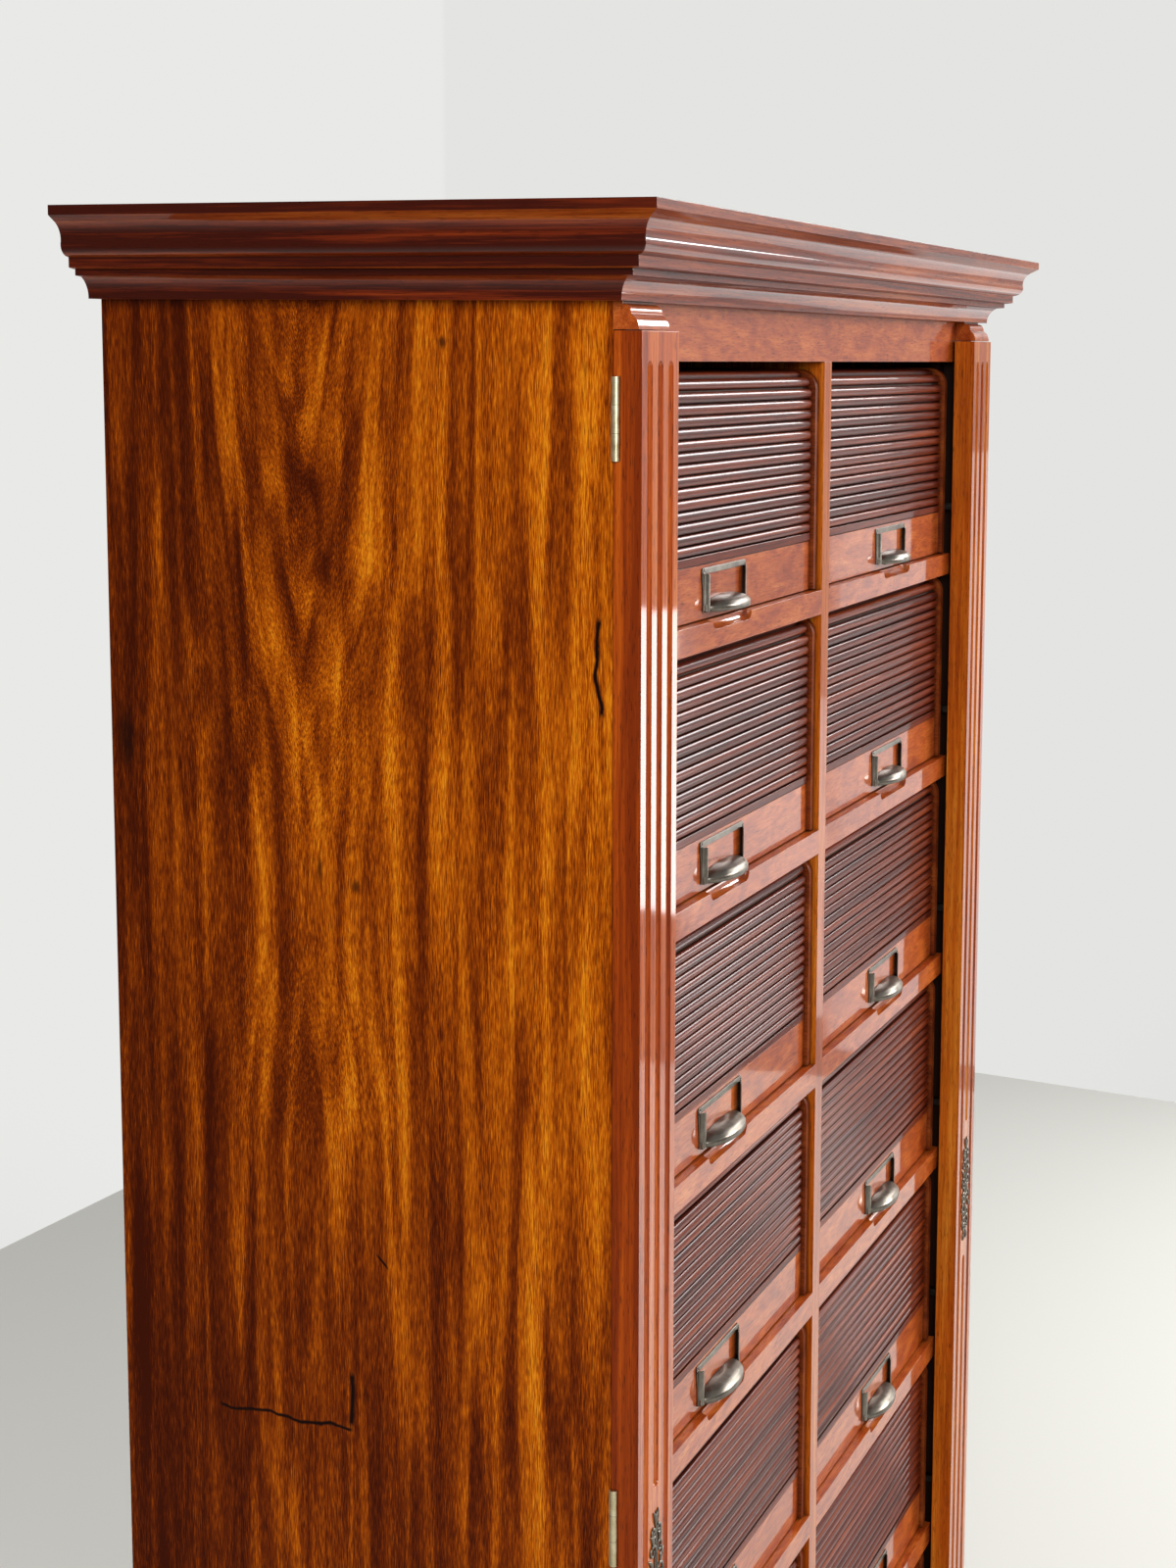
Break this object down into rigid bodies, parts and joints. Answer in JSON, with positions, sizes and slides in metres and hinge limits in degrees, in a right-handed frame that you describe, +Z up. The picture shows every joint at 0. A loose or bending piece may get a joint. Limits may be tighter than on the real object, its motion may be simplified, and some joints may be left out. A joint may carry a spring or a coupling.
{
  "type": "tambour filing cabinet",
  "caption": "Tall mahogany filing cabinet with two columns of tambour-front drawers, card-frame pulls, a stepped cornice and fluted hinged pilasters that lock the drawers",
  "frame": {"origin": "on the floor, under the middle of the cabinet's outline in plan", "axes": "+X to the right along the front, +Y to the back, +Z up"},
  "size_m": [0.9312, 0.4154, 1.6986],
  "materials": {
    "side_veneer": "orange-brown figured mahogany veneer, French polished",
    "front_mahogany": "red-brown mahogany, glossy French polish",
    "pilaster_mahogany": "straight-grained mahogany, glossy French polish",
    "moulding_mahogany": "dark red-brown mahogany mouldings, French polished",
    "drawer_mahogany": "mahogany drawer, polished front",
    "tambour_mahogany": "mahogany slats on canvas, polished",
    "inner_mahogany": "plain mahogany, unpolished inside",
    "top_mahogany": "dull mahogany top board",
    "back_pine": "pine back, brown stain",
    "hinge_brass": "pale worn brass",
    "lock_steel": "oiled steel",
    "escutcheon_bronze": "dark patinated bronze"
  },
  "bodies": {
    "carcass": {"side_panel_left": "side_veneer", "side_panel_right": "side_veneer", "back_panel": "back_pine", "top_board": "top_mahogany", "bottom_board": "inner_mahogany", "centre_partition": "front_mahogany", "frieze_rail": "front_mahogany", "drawer_rails": "front_mahogany", "guide_stiles": "inner_mahogany", "drawer_runners_and_stops": "inner_mahogany", "plinth": "moulding_mahogany", "cornice_crown": "moulding_mahogany", "cornice_bed": "moulding_mahogany", "capitals": "moulding_mahogany", "carcass_hinge_leaves": "hinge_brass", "hinge_pins": "lock_steel", "carcass_hinge_screws": "hinge_brass", "lock_staples": "lock_steel"},
    "pilaster_left": {"pilaster_left": "pilaster_mahogany", "pilaster_hinge_leaves_left": "hinge_brass", "lock_case_and_lugs_left": "lock_steel", "escutcheon_left": "escutcheon_bronze"},
    "lock_bolt_left": {"lock_bolt_left": "lock_steel"},
    "pilaster_right": {"pilaster_right": "pilaster_mahogany", "pilaster_hinge_leaves_right": "hinge_brass", "lock_case_and_lugs_right": "lock_steel", "escutcheon_right": "escutcheon_bronze"},
    "lock_bolt_right": {"lock_bolt_right": "lock_steel"},
    "drawer_left_1": {"drawer_left_1": "drawer_mahogany"},
    "tambour_left_1": {"tambour_left_1": "tambour_mahogany"},
    "drawer_left_2": {"drawer_left_2": "drawer_mahogany"},
    "tambour_left_2": {"tambour_left_2": "tambour_mahogany"},
    "drawer_left_3": {"drawer_left_3": "drawer_mahogany"},
    "tambour_left_3": {"tambour_left_3": "tambour_mahogany"},
    "drawer_left_4": {"drawer_left_4": "drawer_mahogany"},
    "tambour_left_4": {"tambour_left_4": "tambour_mahogany"},
    "drawer_left_5": {"drawer_left_5": "drawer_mahogany"},
    "tambour_left_5": {"tambour_left_5": "tambour_mahogany"},
    "drawer_left_6": {"drawer_left_6": "drawer_mahogany"},
    "tambour_left_6": {"tambour_left_6": "tambour_mahogany"},
    "drawer_left_7": {"drawer_left_7": "drawer_mahogany"},
    "tambour_left_7": {"tambour_left_7": "tambour_mahogany"},
    "drawer_left_8": {"drawer_left_8": "drawer_mahogany"},
    "tambour_left_8": {"tambour_left_8": "tambour_mahogany"},
    "drawer_right_1": {"drawer_right_1": "drawer_mahogany"},
    "tambour_right_1": {"tambour_right_1": "tambour_mahogany"},
    "drawer_right_2": {"drawer_right_2": "drawer_mahogany"},
    "tambour_right_2": {"tambour_right_2": "tambour_mahogany"},
    "drawer_right_3": {"drawer_right_3": "drawer_mahogany"},
    "tambour_right_3": {"tambour_right_3": "tambour_mahogany"},
    "drawer_right_4": {"drawer_right_4": "drawer_mahogany"},
    "tambour_right_4": {"tambour_right_4": "tambour_mahogany"},
    "drawer_right_5": {"drawer_right_5": "drawer_mahogany"},
    "tambour_right_5": {"tambour_right_5": "tambour_mahogany"},
    "drawer_right_6": {"drawer_right_6": "drawer_mahogany"},
    "tambour_right_6": {"tambour_right_6": "tambour_mahogany"},
    "drawer_right_7": {"drawer_right_7": "drawer_mahogany"},
    "tambour_right_7": {"tambour_right_7": "tambour_mahogany"},
    "drawer_right_8": {"drawer_right_8": "drawer_mahogany"},
    "tambour_right_8": {"tambour_right_8": "tambour_mahogany"}
  },
  "joints": [
    {"name": "pilaster_left_hinge", "type": "hinge", "parent": "carcass", "child": "pilaster_left", "pos_m": [-0.413, -0.1593, 0.8523], "axis": [0, 0, -1], "range_deg": [0, 105]},
    {"name": "lock_bolt_left_slide", "type": "slide", "parent": "pilaster_left", "child": "lock_bolt_left", "axis": [0, 0, 1], "range_m": [0, 0.012]},
    {"name": "pilaster_right_hinge", "type": "hinge", "parent": "carcass", "child": "pilaster_right", "pos_m": [0.413, -0.1593, 0.8523], "axis": [0, 0, 1], "range_deg": [0, 105]},
    {"name": "lock_bolt_right_slide", "type": "slide", "parent": "pilaster_right", "child": "lock_bolt_right", "axis": [0, 0, 1], "range_m": [0, 0.012]},
    {"name": "drawer_left_1_slide", "type": "slide", "parent": "carcass", "child": "drawer_left_1", "axis": [0, -1, 0], "range_m": [0, 0.25]},
    {"name": "tambour_left_1_rise", "type": "slide", "parent": "drawer_left_1", "child": "tambour_left_1", "axis": [0, 0, 1], "range_m": [0, 0.09], "deforming": ["tambour_left_1"]},
    {"name": "drawer_left_2_slide", "type": "slide", "parent": "carcass", "child": "drawer_left_2", "axis": [0, -1, 0], "range_m": [0, 0.25]},
    {"name": "tambour_left_2_rise", "type": "slide", "parent": "drawer_left_2", "child": "tambour_left_2", "axis": [0, 0, 1], "range_m": [0, 0.09], "deforming": ["tambour_left_2"]},
    {"name": "drawer_left_3_slide", "type": "slide", "parent": "carcass", "child": "drawer_left_3", "axis": [0, -1, 0], "range_m": [0, 0.25]},
    {"name": "tambour_left_3_rise", "type": "slide", "parent": "drawer_left_3", "child": "tambour_left_3", "axis": [0, 0, 1], "range_m": [0, 0.09], "deforming": ["tambour_left_3"]},
    {"name": "drawer_left_4_slide", "type": "slide", "parent": "carcass", "child": "drawer_left_4", "axis": [0, -1, 0], "range_m": [0, 0.25]},
    {"name": "tambour_left_4_rise", "type": "slide", "parent": "drawer_left_4", "child": "tambour_left_4", "axis": [0, 0, 1], "range_m": [0, 0.09], "deforming": ["tambour_left_4"]},
    {"name": "drawer_left_5_slide", "type": "slide", "parent": "carcass", "child": "drawer_left_5", "axis": [0, -1, 0], "range_m": [0, 0.25]},
    {"name": "tambour_left_5_rise", "type": "slide", "parent": "drawer_left_5", "child": "tambour_left_5", "axis": [0, 0, 1], "range_m": [0, 0.09], "deforming": ["tambour_left_5"]},
    {"name": "drawer_left_6_slide", "type": "slide", "parent": "carcass", "child": "drawer_left_6", "axis": [0, -1, 0], "range_m": [0, 0.25]},
    {"name": "tambour_left_6_rise", "type": "slide", "parent": "drawer_left_6", "child": "tambour_left_6", "axis": [0, 0, 1], "range_m": [0, 0.09], "deforming": ["tambour_left_6"]},
    {"name": "drawer_left_7_slide", "type": "slide", "parent": "carcass", "child": "drawer_left_7", "axis": [0, -1, 0], "range_m": [0, 0.25]},
    {"name": "tambour_left_7_rise", "type": "slide", "parent": "drawer_left_7", "child": "tambour_left_7", "axis": [0, 0, 1], "range_m": [0, 0.09], "deforming": ["tambour_left_7"]},
    {"name": "drawer_left_8_slide", "type": "slide", "parent": "carcass", "child": "drawer_left_8", "axis": [0, -1, 0], "range_m": [0, 0.25]},
    {"name": "tambour_left_8_rise", "type": "slide", "parent": "drawer_left_8", "child": "tambour_left_8", "axis": [0, 0, 1], "range_m": [0, 0.09], "deforming": ["tambour_left_8"]},
    {"name": "drawer_right_1_slide", "type": "slide", "parent": "carcass", "child": "drawer_right_1", "axis": [0, -1, 0], "range_m": [0, 0.25]},
    {"name": "tambour_right_1_rise", "type": "slide", "parent": "drawer_right_1", "child": "tambour_right_1", "axis": [0, 0, 1], "range_m": [0, 0.09], "deforming": ["tambour_right_1"]},
    {"name": "drawer_right_2_slide", "type": "slide", "parent": "carcass", "child": "drawer_right_2", "axis": [0, -1, 0], "range_m": [0, 0.25]},
    {"name": "tambour_right_2_rise", "type": "slide", "parent": "drawer_right_2", "child": "tambour_right_2", "axis": [0, 0, 1], "range_m": [0, 0.09], "deforming": ["tambour_right_2"]},
    {"name": "drawer_right_3_slide", "type": "slide", "parent": "carcass", "child": "drawer_right_3", "axis": [0, -1, 0], "range_m": [0, 0.25]},
    {"name": "tambour_right_3_rise", "type": "slide", "parent": "drawer_right_3", "child": "tambour_right_3", "axis": [0, 0, 1], "range_m": [0, 0.09], "deforming": ["tambour_right_3"]},
    {"name": "drawer_right_4_slide", "type": "slide", "parent": "carcass", "child": "drawer_right_4", "axis": [0, -1, 0], "range_m": [0, 0.25]},
    {"name": "tambour_right_4_rise", "type": "slide", "parent": "drawer_right_4", "child": "tambour_right_4", "axis": [0, 0, 1], "range_m": [0, 0.09], "deforming": ["tambour_right_4"]},
    {"name": "drawer_right_5_slide", "type": "slide", "parent": "carcass", "child": "drawer_right_5", "axis": [0, -1, 0], "range_m": [0, 0.25]},
    {"name": "tambour_right_5_rise", "type": "slide", "parent": "drawer_right_5", "child": "tambour_right_5", "axis": [0, 0, 1], "range_m": [0, 0.09], "deforming": ["tambour_right_5"]},
    {"name": "drawer_right_6_slide", "type": "slide", "parent": "carcass", "child": "drawer_right_6", "axis": [0, -1, 0], "range_m": [0, 0.25]},
    {"name": "tambour_right_6_rise", "type": "slide", "parent": "drawer_right_6", "child": "tambour_right_6", "axis": [0, 0, 1], "range_m": [0, 0.09], "deforming": ["tambour_right_6"]},
    {"name": "drawer_right_7_slide", "type": "slide", "parent": "carcass", "child": "drawer_right_7", "axis": [0, -1, 0], "range_m": [0, 0.25]},
    {"name": "tambour_right_7_rise", "type": "slide", "parent": "drawer_right_7", "child": "tambour_right_7", "axis": [0, 0, 1], "range_m": [0, 0.09], "deforming": ["tambour_right_7"]},
    {"name": "drawer_right_8_slide", "type": "slide", "parent": "carcass", "child": "drawer_right_8", "axis": [0, -1, 0], "range_m": [0, 0.25]},
    {"name": "tambour_right_8_rise", "type": "slide", "parent": "drawer_right_8", "child": "tambour_right_8", "axis": [0, 0, 1], "range_m": [0, 0.09], "deforming": ["tambour_right_8"]}
  ],
  "couplings": [
    {"joint": "tambour_left_1_rise", "follows": "drawer_left_1_slide", "ratio": 0.36},
    {"joint": "tambour_left_2_rise", "follows": "drawer_left_2_slide", "ratio": 0.36},
    {"joint": "tambour_left_3_rise", "follows": "drawer_left_3_slide", "ratio": 0.36},
    {"joint": "tambour_left_4_rise", "follows": "drawer_left_4_slide", "ratio": 0.36},
    {"joint": "tambour_left_5_rise", "follows": "drawer_left_5_slide", "ratio": 0.36},
    {"joint": "tambour_left_6_rise", "follows": "drawer_left_6_slide", "ratio": 0.36},
    {"joint": "tambour_left_7_rise", "follows": "drawer_left_7_slide", "ratio": 0.36},
    {"joint": "tambour_left_8_rise", "follows": "drawer_left_8_slide", "ratio": 0.36},
    {"joint": "tambour_right_1_rise", "follows": "drawer_right_1_slide", "ratio": 0.36},
    {"joint": "tambour_right_2_rise", "follows": "drawer_right_2_slide", "ratio": 0.36},
    {"joint": "tambour_right_3_rise", "follows": "drawer_right_3_slide", "ratio": 0.36},
    {"joint": "tambour_right_4_rise", "follows": "drawer_right_4_slide", "ratio": 0.36},
    {"joint": "tambour_right_5_rise", "follows": "drawer_right_5_slide", "ratio": 0.36},
    {"joint": "tambour_right_6_rise", "follows": "drawer_right_6_slide", "ratio": 0.36},
    {"joint": "tambour_right_7_rise", "follows": "drawer_right_7_slide", "ratio": 0.36},
    {"joint": "tambour_right_8_rise", "follows": "drawer_right_8_slide", "ratio": 0.36}
  ]
}
